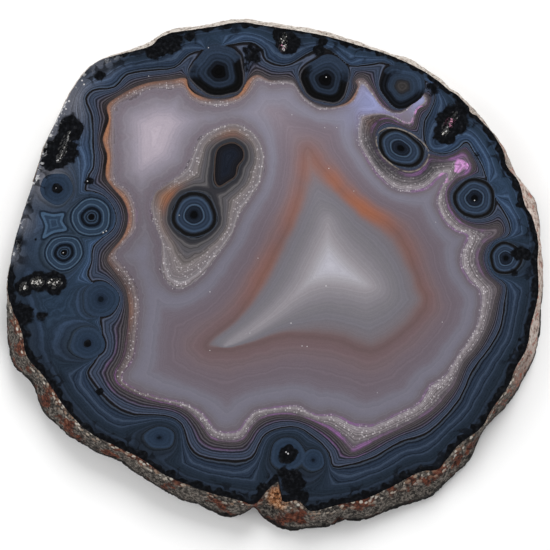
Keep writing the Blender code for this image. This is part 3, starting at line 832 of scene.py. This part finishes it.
class CutFace(Finish):
    """A finish for a cut face, which knows where each place lies in the stone's growth.

    The growth rises from 0 at the skin to 1 at the second band, 2 and 3 at the outer and
    inner lines of the crust, 4 at the rust-coloured line, 5 at the pale core and 6 in it.
    """

    def __init__(self, name):
        super().__init__(name)
        # A slight unevenness, without which the layers would look drawn
        self.wobble = self.reckon("SUBTRACT", self.cloud(420.0, 2.0), 0.5)
        self.grow = self.added(self.wobble, 0.09, self.field("growth"))
        self.eye_share = self.added(self.wobble, 0.1, self.field("eye_share"))
        self.in_eye = self.reckon("LESS_THAN", self.eye_share, 1.0)
        self.island = self.field("island")
        self.in_island = self.reckon("GREATER_THAN", self.island, 0.0)
        self.beside_eye = self.times(self.in_island, self.reckon("SUBTRACT", 1.0, self.in_eye))
        self.orange = self.field("orange")
        self.grey_rim = self.field("grey_rim")
        self.rim_gap = self.field("rim_gap")
        cells = self.grains(2300.0)
        self.sparkle = self.times(
            self.fit(cells.outputs["Distance"], 0.5, 0.2),
            self.fit(self.cell_value(cells, 0), 0.3, 0.9),
        )

    def zone(self, number, stops):
        """The colours between one growth line and the next."""
        return self.ramp(self.reckon("SUBTRACT", self.grow, float(number), clamp=True), stops)

    def past(self, number):
        """Whether a place lies inside a growth line."""
        return self.reckon("GREATER_THAN", self.grow, float(number))

    def within(self, from_low, from_high, to_high, to_low):
        """A band of the growth, with soft edges that rise and fall between these values."""
        return self.times(self.fit(self.grow, from_low, from_high), self.fit(self.grow, to_low, to_high))

    def outer_layers(self):
        """The blue-grey layers next to the skin, and the darker ones inside them."""
        blue = self.tinted(
            self.zone(0, BLUE_BANDS), self.blend(self.field("bright"), DULL_BLUE, BRIGHT_BLUE),
        )
        colour = self.blend(self.past(1), blue, self.zone(1, DARK_BANDS))
        milky = self.times(self.grey_rim, self.fit(self.grow, 1.05, 0.75), 0.85)
        colour = self.blend(milky, colour, tone(108, 109, 118))
        black_line = self.times(self.orange, self.fit(self.grow, 1.72, 1.86))
        return self.blend(black_line, colour, tone(27, 24, 24))

    def crust(self):
        """The grainy crust round the heart, browner on the left, orange or like coal in places."""
        crust = self.zone(2, CRUST_BANDS)
        mottle = self.fit(self.cloud(1600.0, 4.0, 0.7), 0.4, 0.62, 0.0, 0.4)
        crust = self.blend(mottle, crust, tone(70, 64, 66))
        grey = self.larger(self.fit(self.along(0), -0.033, -0.012), self.orange)
        crust = self.tinted(crust, self.blend(grey, BROWN_CRUST, UNCHANGED))
        grains = self.times(self.sparkle, self.fit(self.grow, 2.1, 2.5, 0.0, 0.85))
        crust = self.blend(grains, crust, tone(196, 190, 194))
        crust = self.blend(self.orange, crust, self.zone(2, ORANGE_BANDS))
        coal = self.times(self.field("coal"), self.fit(self.grow, 2.85, 2.6))
        return self.blend(coal, crust, self.ramp(self.cloud(1500.0, 4.0, 0.7), COAL_GRAINS))

    def heart(self):
        """The grey-violet heart with its rust-coloured band and pale core, lighter to the far side."""
        heart = self.blend(self.past(4), self.zone(3, HEART_BANDS), self.zone(4, INNER_BANDS))
        heart = self.blend(self.past(5), heart, self.zone(5, CORE_BANDS))
        rust = self.times(self.within(3.5, 3.97, 4.0, 4.3), self.field("iron"))
        heart = self.blend(rust, heart, tone(152, 96, 72))
        return self.tinted(heart, self.grey(self.fit(self.along(1), 0.004, 0.03, 1.0, 1.26)))

    def pale_patches(self, colour):
        """Parts of the heart that fade to a pale pink, in steps away from the crust."""
        gap = self.field("inner_gap")
        steps = self.fit(self.layers(gap, 0.75, 4.0, 0.75), 0.3, 0.7, 0.8, 1.15)
        share = self.times(self.field("pale"), self.fit(gap, 0.4, 8.0))
        share = self.reckon("MULTIPLY", share, steps, clamp=True)
        return self.blend(self.times(share, self.past(3)), colour, tone(180, 169, 180))

    def violet_stains(self, colour):
        """Violet lines along the crust, pink patches in its corners and a light blue inlet."""
        lines = self.larger(self.within(1.98, 2.12, 2.16, 2.3), self.within(2.84, 2.96, 2.99, 3.02))
        lines = self.larger(lines, self.times(self.within(1.5, 1.56, 1.6, 1.66), 0.6))
        patchy = self.fit(self.cloud(330.0, 3.0, 0.6), 0.4, 0.6, 0.15, 0.8)
        violet = self.times(self.field("violet"), lines, patchy)
        colour = self.blend(violet, colour, tone(136, 92, 146))
        pink = self.added(self.wobble, 0.9, self.field("pink"))
        pink = self.fit(self.times(pink, self.within(2.1, 2.2, 2.9, 2.99)), 0.3, 0.62)
        pink = self.times(pink, self.fit(self.cloud(700.0, 3.0, 0.6), 0.36, 0.54, 0.35, 0.95))
        colour = self.blend(pink, colour, tone(206, 146, 206))
        inlet = self.times(self.field("light_blue"), self.fit(self.grow, 2.7, 2.95))
        return self.blend(inlet, colour, tone(138, 142, 180))

    def island_layers(self):
        """The island in the heart: a grainy crust, grey layers round its eye, and a dark kidney."""
        inwards = self.added(self.wobble, 0.12, self.island)
        inwards = self.reckon("MAXIMUM", inwards, 0.0, clamp=True)
        grains = self.times(self.sparkle, self.fit(self.island, 0.62, 0.2))
        colour = self.blend(grains, self.ramp(inwards, ISLAND_BANDS), tone(190, 184, 188))
        colour = self.blend(self.orange, colour, self.ramp(inwards, ISLAND_ORANGE))
        kidney = self.ramp(self.reckon("SUBTRACT", self.island, 1.0, clamp=True), KIDNEY_BANDS)
        return self.blend(self.reckon("GREATER_THAN", self.island, 1.0), colour, kidney)

    def eye_rings(self):
        """The rings of each kind of eye; some are black only on the side away from the rim."""
        kind = self.field("eye_kind")
        inward = self.fit(self.added(self.wobble, 1.5, self.field("eye_side")), -0.75, 0.0)
        eye = self.ramp(self.eye_share, EYE_BANDS)
        for number, stops, rimward in (
            (1, SOFT_EYE_BANDS, None), (2, BLUE_EYE_BANDS, None),
            (3, DARK_EYE_BANDS, DARK_EYE_RIMWARD), (4, BROWN_EYE_BANDS, BROWN_EYE_RIMWARD),
        ):
            rings = self.ramp(self.eye_share, stops)
            if rimward:
                rings = self.blend(inward, self.ramp(self.eye_share, rimward), rings)
            eye = self.blend(self.reckon("GREATER_THAN", kind, number - 0.5), eye, rings)
        return eye

    def fine_layers(self, colour):
        """The finest layers: lighter and darker lines that follow the growth."""
        in_eyes = self.reckon("ADD", self.eye_share, EYE_LAYERS)
        layer = self.added(self.in_eye, self.reckon("SUBTRACT", in_eyes, self.grow), self.grow)
        on_island = self.added(self.wobble, 0.12, self.reckon("ADD", self.island, ISLAND_LAYERS))
        layer = self.added(self.beside_eye, self.reckon("SUBTRACT", on_island, layer), layer)
        fine = self.fit(self.layers(layer, 14.0, 4.0, 0.65), 0.3, 0.7, 0.68, 1.32)
        finer = self.fit(self.layers(layer, 45.0, 3.0, 0.6), 0.3, 0.7, -0.2, 0.2)
        lines = self.reckon("SUBTRACT", self.reckon("ADD", fine, finer), 1.0)
        strength = self.times(
            self.fit(self.grow, 2.9, 3.12, 1.0, 0.14), self.fit(self.grow, 0.1, 0.75, 0.45, 1.1),
        )
        strength = self.larger(strength, self.times(self.beside_eye, 0.8))
        strength = self.added(self.grey_rim, 0.5, strength)
        strength = self.times(strength, self.fit(self.in_eye, 0.0, 1.0, 1.0, 0.5))
        return self.tinted(colour, self.grey(self.added(lines, strength, 1.0)))

    def figures(self, colour):
        """The four-sided figure between three eyes, and the pale line round another eye."""
        diamond = self.field("diamond")
        colour = self.blend(self.times(self.fit(diamond, 0.5, 0.25), 0.85), colour, tone(24, 32, 44))
        colour = self.blend(self.times(self.fit(diamond, -0.3, -0.5), 0.9), colour, tone(44, 60, 80))
        outline = self.larger(
            self.times(self.fit(diamond, 0.05, -0.1), self.fit(diamond, -0.6, -0.4)),
            self.times(self.fit(diamond, -0.95, -1.05, 0.0, 0.5), self.fit(diamond, -1.3, -1.2)),
        )
        colour = self.blend(self.times(outline, 0.9), colour, tone(70, 93, 118))
        loop = self.field("pale_loop")
        line = self.times(
            self.fit(loop, 0.5, 0.35), self.fit(loop, 0.1, 0.25),
            self.fit(self.cloud(700.0, 3.0, 0.6), 0.35, 0.55),
        )
        return self.blend(line, colour, tone(132, 124, 116))

    def stone_grain(self, colour):
        """The grain of the stone, stronger in the outer layers than in the heart."""
        grain = self.fit(self.cloud(3200.0, 2.0, 0.6), 0.3, 0.7, -1.0, 1.0)
        grain = self.added(grain, self.fit(self.grow, 2.8, 3.1, 0.12, 0.03), 1.0)
        return self.tinted(colour, self.grey(grain))

    def black_margin(self, colour):
        """The black layer next to the skin, ragged with round bubbles, and the black patches."""
        bubbles = self.grains(520.0).outputs["Distance"]
        ragged = self.added(self.wobble, 2.4, self.added(bubbles, 1.5, self.rim_gap))
        ragged = self.reckon("ADD", ragged, self.fit(self.along(1), 0.015, 0.035, 0.0, 0.55))
        margin = self.times(
            self.fit(ragged, 1.75, 2.15, 1.0, 0.0), self.fit(self.grey_rim, 0.1, 0.6, 1.0, 0.08),
        )
        rings = self.times(
            self.fit(bubbles, 0.5, 0.62), self.fit(self.rim_gap, 4.2, 1.8),
            self.fit(self.cloud(160.0, 2.0, 0.5), 0.48, 0.56), 0.75,
        )
        patch = self.added(bubbles, -0.16, self.field("black"))
        uneven = self.reckon("SUBTRACT", self.cloud(900.0, 3.0, 0.6), 0.5)
        patch = self.added(self.wobble, 0.5, self.added(uneven, 0.35, patch))
        margin = self.larger(self.larger(margin, rings), self.fit(patch, 0.2, 0.34))
        return self.blend(margin, colour, self.ramp(self.cloud(1300.0, 4.0, 0.7), BLACK_GRAINS))

    def chips_and_specks(self, colour):
        """White chips along the grey part of the rim, and small white specks in the stone."""
        chips = self.times(
            self.fit(self.rim_gap, 1.6, 0.1), self.grey_rim,
            self.fit(self.cloud(800.0, 4.0, 0.7), 0.56, 0.64),
        )
        colour = self.blend(chips, colour, tone(214, 214, 216))
        specks = 0.0
        for x, y, reach in SPECKS:
            away = self.away_from((x, y, THICKNESS))
            specks = self.larger(specks, self.fit(away, reach * MM, reach * SPECK_MIDDLE * MM))
        return self.blend(self.times(specks, 0.85), colour, tone(214, 212, 214))

    def stone_colour(self):
        """The colour of the stone, from its large zones to its smallest marks."""
        colour = self.blend(self.past(2), self.outer_layers(), self.crust())
        colour = self.blend(self.past(3), colour, self.heart())
        colour = self.violet_stains(self.pale_patches(colour))
        colour = self.blend(self.in_island, colour, self.island_layers())
        colour = self.blend(self.in_eye, colour, self.eye_rings())
        colour = self.figures(self.fine_layers(colour))
        colour = self.black_margin(self.stone_grain(colour))
        return self.chips_and_specks(colour)


polished = CutFace("polished_agate")
polished.plug(polished.surface.inputs["Base Color"], polished.stone_colour())
polished.surface.inputs["Roughness"].default_value = 0.1
polished.surface.inputs["IOR"].default_value = 1.54

# The back: the same layers as the saw left them, dull and a little milky, with the fine
# parallel scratches of the blade.
sawn = CutFace("sawn_agate")
saw_marks = sawn.add("ShaderNodeTexWave", [("bands_direction", "X")], [
    ("Vector", sawn.here()), ("Scale", 420.0), ("Distortion", 2.0), ("Detail", 2.0),
]).outputs["Fac"]
milky_colour = sawn.blend(0.35, sawn.stone_colour(), tone(120, 116, 116))
sawn.plug(sawn.surface.inputs["Base Color"], milky_colour)
sawn.surface.inputs["Roughness"].default_value = 0.6
saw_bump = sawn.add("ShaderNodeBump", (), [
    ("Strength", 0.25), ("Distance", 0.00005), ("Height", saw_marks),
])
sawn.plug(sawn.surface.inputs["Normal"], saw_bump.outputs["Normal"])

# The skin: the nodule's rind, dull grey-brown with rust stains and small pits, and beaded with
# pale grains where the polishing wheel cut it. It is tan in the cleft. On the far and right-hand
# sides it is painted pale, partly its own colour and partly painted light from the lamps, and low
# down on the near side, where the rind curves under, painted shade makes it nearly black.
SKIN_GREYS = (
    (0.34, (14, 12, 12)), (0.42, (42, 38, 35)), (0.48, (72, 67, 62)), (0.54, (102, 96, 90)),
    (0.6, (144, 136, 128)), (0.66, (84, 76, 70)), (0.76, (42, 36, 33)),
)
SKIN_REDS = ((0.3, (24, 13, 9)), (0.45, (68, 36, 26)), (0.58, (112, 60, 42)), (0.7, (140, 104, 86)))
BEAD_TONES = ((0.3, (142, 112, 92)), (0.6, (176, 164, 150)), (0.9, (204, 196, 186)))
# The pale tones of the skin on the right-hand and far sides, partly its own colour and partly painted
# light on the side towards the lamps
PALE_AND_LIT_SKIN = (
    (0.3, (60, 40, 34)), (0.42, (150, 128, 118)), (0.5, (196, 180, 170)), (0.6, (208, 198, 190)),
    (0.72, (150, 90, 76)),
)
FAR_SKIN = (
    (0.34, (74, 66, 60)), (0.43, (140, 130, 121)), (0.5, (182, 174, 165)), (0.6, (208, 202, 194)),
    (0.74, (136, 112, 98)),
)
CLEFT_TANS = (
    (0.36, (34, 20, 12)), (0.45, (104, 62, 36)), (0.54, (184, 124, 80)), (0.66, (230, 200, 170)),
)
CLEFT_WALL = (0.9, -45.6, 5.6)

skin = Finish("rough_skin")
across, far, height = (skin.along(axis) for axis in range(3))
skin_colour = skin.ramp(skin.cloud(1500.0, 5.0, 0.75), SKIN_GREYS)
stains = skin.fit(skin.cloud(210.0, 3.0, 0.6), 0.5, 0.57)
skin_colour = skin.blend(stains, skin_colour, skin.ramp(skin.cloud(1100.0, 4.0, 0.7), SKIN_REDS))
pits = skin.times(
    skin.fit(skin.grains(1500.0).outputs["Distance"], 0.46, 0.26),
    skin.fit(skin.cloud(500.0, 3.0, 0.6), 0.4, 0.5), 0.8,
)
skin_colour = skin.blend(pits, skin_colour, tone(18, 14, 12))

bead_cells = skin.grains(1100.0)
bead_value = skin.cell_value(bead_cells, 1)
beads = skin.times(
    skin.fit(height, 0.0048, 0.0062), skin.fit(skin.cloud(420.0, 3.0, 0.6), 0.36, 0.46),
    skin.fit(bead_cells.outputs["Distance"], 0.55, 0.35), skin.fit(bead_value, 0.05, 0.35),
)
skin_colour = skin.blend(beads, skin_colour, skin.ramp(bead_value, BEAD_TONES))

# Partly painted light: the side of the skin towards the lamps, right and far, is painted paler over its
# own colours
pale_and_lit_side = skin.times(
    skin.larger(skin.fit(across, 0.044, 0.051), skin.fit(far, 0.03, 0.04)),
    skin.fit(far, -0.03, -0.01), 0.85,
)
skin_colour = skin.blend(pale_and_lit_side, skin_colour, skin.ramp(skin.cloud(900.0, 4.0, 0.7), PALE_AND_LIT_SKIN))
far_side = skin.times(
    skin.fit(skin.added(skin.cloud(160.0, 4.0, 0.7), 0.03, far), 0.026, 0.056),
    skin.fit(skin.cloud(600.0, 3.0, 0.6), 0.34, 0.44, 0.25, 0.9),
)
skin_colour = skin.blend(far_side, skin_colour, skin.ramp(skin.cloud(1300.0, 4.0, 0.7), FAR_SKIN))
red_spots = skin.times(
    skin.fit(skin.grains(900.0).outputs["Distance"], 0.46, 0.28), skin.fit(across, 0.04, 0.048),
    skin.fit(skin.cloud(450.0, 3.0, 0.6), 0.44, 0.54), 0.85,
)
skin_colour = skin.blend(red_spots, skin_colour, tone(146, 80, 62))

cleft = skin.times(
    skin.fit(skin.away_from(CLEFT_WALL), 0.0032, 0.0016),
    skin.fit(skin.cloud(500.0, 3.0, 0.6), 0.36, 0.5),
)
skin_colour = skin.blend(cleft, skin_colour, skin.ramp(skin.cloud(1500.0, 4.0, 0.7), CLEFT_TANS))
# Painted shade: low down on the near side, where the rind curves under towards the table, the skin is
# painted nearly black
painted_underside_shade = skin.times(skin.fit(height, 0.0024, 0.001, 0.0, 0.96), skin.fit(far, 0.03, 0.008))
skin_colour = skin.blend(painted_underside_shade, skin_colour, tone(8, 7, 7))
skin.plug(skin.surface.inputs["Base Color"], skin_colour)
skin.surface.inputs["Roughness"].default_value = 0.72
skin.surface.inputs["Specular IOR Level"].default_value = 0.15
skin_bump = skin.add("ShaderNodeBump", (), [
    ("Strength", 0.8), ("Distance", 0.0003), ("Height", skin.cloud(1800.0, 4.0, 0.7)),
])
skin.plug(skin.surface.inputs["Normal"], skin_bump.outputs["Normal"])

# The finished slab: the mesh above with its growth fields as attributes and its three
# finishes, polished in front, rough round the side and sawn behind. It is the whole part.
slab_data = bpy.data.meshes.new("agate_slab")
slab_mesh.to_mesh(slab_data)
slab_mesh.free()
for name, values in fields.items():
    layer = slab_data.attributes.new(name, "FLOAT", "POINT")
    layer.data.foreach_set("value", values.astype(np.float32))
for finish in (polished, skin, sawn):
    slab_data.materials.append(finish.material)
slab = bpy.data.objects.new("agate_slab", slab_data)
bpy.context.scene.collection.objects.link(slab)
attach(slab, "root")
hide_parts("agate_slice")

# The crystals: six-sided quartz that grew on the walls of the pockets, clear, so that it looks
# white or pinkish against the dark stone. Each run of them is given by its start and its end
# in millimetres, how many there are, how far they stray, their size, and 0 or 1 for the stone.
CRYSTAL_RUNS = (
    ((-40.9, 28.6), (-43.5, 21.8), 34, 0.06, 0.1, 0), ((-42.9, 23.6), (-42.3, 22.2), 7, 0.25, 0.17, 0),
    ((1.5, 47.9), (2.2, 45.2), 10, 0.4, 0.2, 0), ((1.7, 45.6), (1.5, 44.9), 4, 0.2, 0.2, 1),
    ((36.6, 32.0), (37.0, 31.2), 5, 0.2, 0.22, 0), ((34.9, 28.9), (35.8, 30.8), 12, 0.18, 0.2, 1),
    ((33.3, 27.3), (34.5, 28.4), 10, 0.16, 0.18, 0),
    ((-50.4, -3.7), (-50.0, -3.3), 8, 0.25, 0.2, 0), ((-48.4, -2.8), (-46.6, -2.2), 16, 0.35, 0.24, 0),
    ((-45.1, -2.9), (-43.4, -2.5), 16, 0.35, 0.22, 0),
)
SHALLOWEST_POCKET = 0.15
POCKET_FILL = 0.95
FOOT_DEPTH = 0.05
TIP_SHARE = 0.35
WIDTHS, HEIGHTS = (0.6, 1.25), (1.6, 3.2)
LEAN = 0.3

crystal_dice = random.Random(7)
crystal_mesh = bmesh.new()
for start, end, count, stray, size, stone in CRYSTAL_RUNS:
    for number in range(count):
        share = crystal_dice.random()
        x = start[0] + (end[0] - start[0]) * share + crystal_dice.gauss(0.0, stray)
        y = start[1] + (end[1] - start[1]) * share + crystal_dice.gauss(0.0, stray)
        depth = pocket_depth(x, y)
        if depth < SHALLOWEST_POCKET:
            continue
        width = size * crystal_dice.uniform(*WIDTHS)
        height = min(depth * POCKET_FILL, width * crystal_dice.uniform(*HEIGHTS))
        foot = Vector((x, y, THICKNESS - depth - FOOT_DEPTH)) * MM
        lean = Matrix.Rotation(crystal_dice.gauss(0.0, LEAN), 4, "X")
        lean = lean @ Matrix.Rotation(crystal_dice.gauss(0.0, LEAN), 4, "Y")
        lift = Matrix.Translation((0.0, 0.0, height * MM / 2))
        made = bmesh.ops.create_cone(
            crystal_mesh, segments=6, radius1=width * MM, radius2=width * TIP_SHARE * MM,
            depth=height * MM, cap_ends=True, matrix=Matrix.Translation(foot) @ lean @ lift,
        )["verts"]
        for part in {part for corner in made for part in corner.link_faces}:
            part.material_index = stone
crystal_data = bpy.data.meshes.new("pocket_crystals")
crystal_mesh.to_mesh(crystal_data)
crystal_mesh.free()
for name, colour in (("white_quartz", tone(232, 230, 226)), ("pink_quartz", tone(226, 160, 190))):
    quartz = Finish(name)
    quartz.surface.inputs["Base Color"].default_value = colour
    quartz.surface.inputs["Roughness"].default_value = 0.15
    crystal_data.materials.append(quartz.material)
crystals = bpy.data.objects.new("pocket_crystals", crystal_data)
bpy.context.scene.collection.objects.link(crystals)
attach(crystals, "root")

# The table: a plain white matt board that the slice lies on, large enough to fill the view.
# It is stage, and no part of the slice.
FLOOR_HALF = 1.5
floor_mesh = bmesh.new()
bmesh.ops.create_grid(floor_mesh, x_segments=1, y_segments=1, size=FLOOR_HALF)
floor_data = bpy.data.meshes.new("table_top")
floor_mesh.to_mesh(floor_data)
floor_mesh.free()
floor = bpy.data.objects.new("table_top", floor_data)
bpy.context.scene.collection.objects.link(floor)
white_table = Finish("white_table")
white_table.surface.inputs["Base Color"].default_value = (0.93, 0.93, 0.93, 1.0)
white_table.surface.inputs["Roughness"].default_value = 0.9
white_table.surface.inputs["Specular IOR Level"].default_value = 0.0
floor_data.materials.append(white_table.material)

# The light: an even white surround with a dark ceiling, so that the polished face has no glare
# and shows its own colours, and two broad soft lamps, one behind the slab and one on the left.
# The surround darkens between two heights, given as shares of the way up.
CEILING_START, CEILING_END = 0.78, 0.93
SURROUND_LIGHT, CEILING_LIGHT = 0.9, 0.03

world = bpy.data.worlds.new("studio")
bpy.context.scene.world = world
world.use_nodes = True
world_nodes = world.node_tree.nodes
world_links = world.node_tree.links
direction = world_nodes.new("ShaderNodeTexCoord").outputs["Generated"]
upward = world_nodes.new("ShaderNodeSeparateXYZ")
world_links.new(direction, upward.inputs[0])
ceiling = world_nodes.new("ShaderNodeMapRange")
ceiling.interpolation_type = "SMOOTHSTEP"
world_links.new(upward.outputs["Z"], ceiling.inputs["Value"])
for name, value in (
    ("From Min", CEILING_START), ("From Max", CEILING_END),
    ("To Min", SURROUND_LIGHT), ("To Max", CEILING_LIGHT),
):
    ceiling.inputs[name].default_value = value
background = world_nodes["Background"]
background.inputs["Color"].default_value = (1.0, 1.0, 1.0, 1.0)
world_links.new(ceiling.outputs["Result"], background.inputs["Strength"])


def soft_light(name, place, size, power):
    """A square soft light that faces the slab."""
    light_data = bpy.data.lights.new(name, "AREA")
    light_data.size = size
    light_data.energy = power
    light = bpy.data.objects.new(name, light_data)
    light.location = place
    light.rotation_euler = (-Vector(place)).to_track_quat("-Z", "Y").to_euler()
    bpy.context.scene.collection.objects.link(light)


soft_light("far_light", (0.25, 0.75, 0.7), 0.5, 8.0)
soft_light("side_light", (-0.8, 0.1, 0.55), 0.5, 1.8)

bpy.context.scene.view_settings.view_transform = "Standard"
bpy.context.scene.view_settings.look = "None"
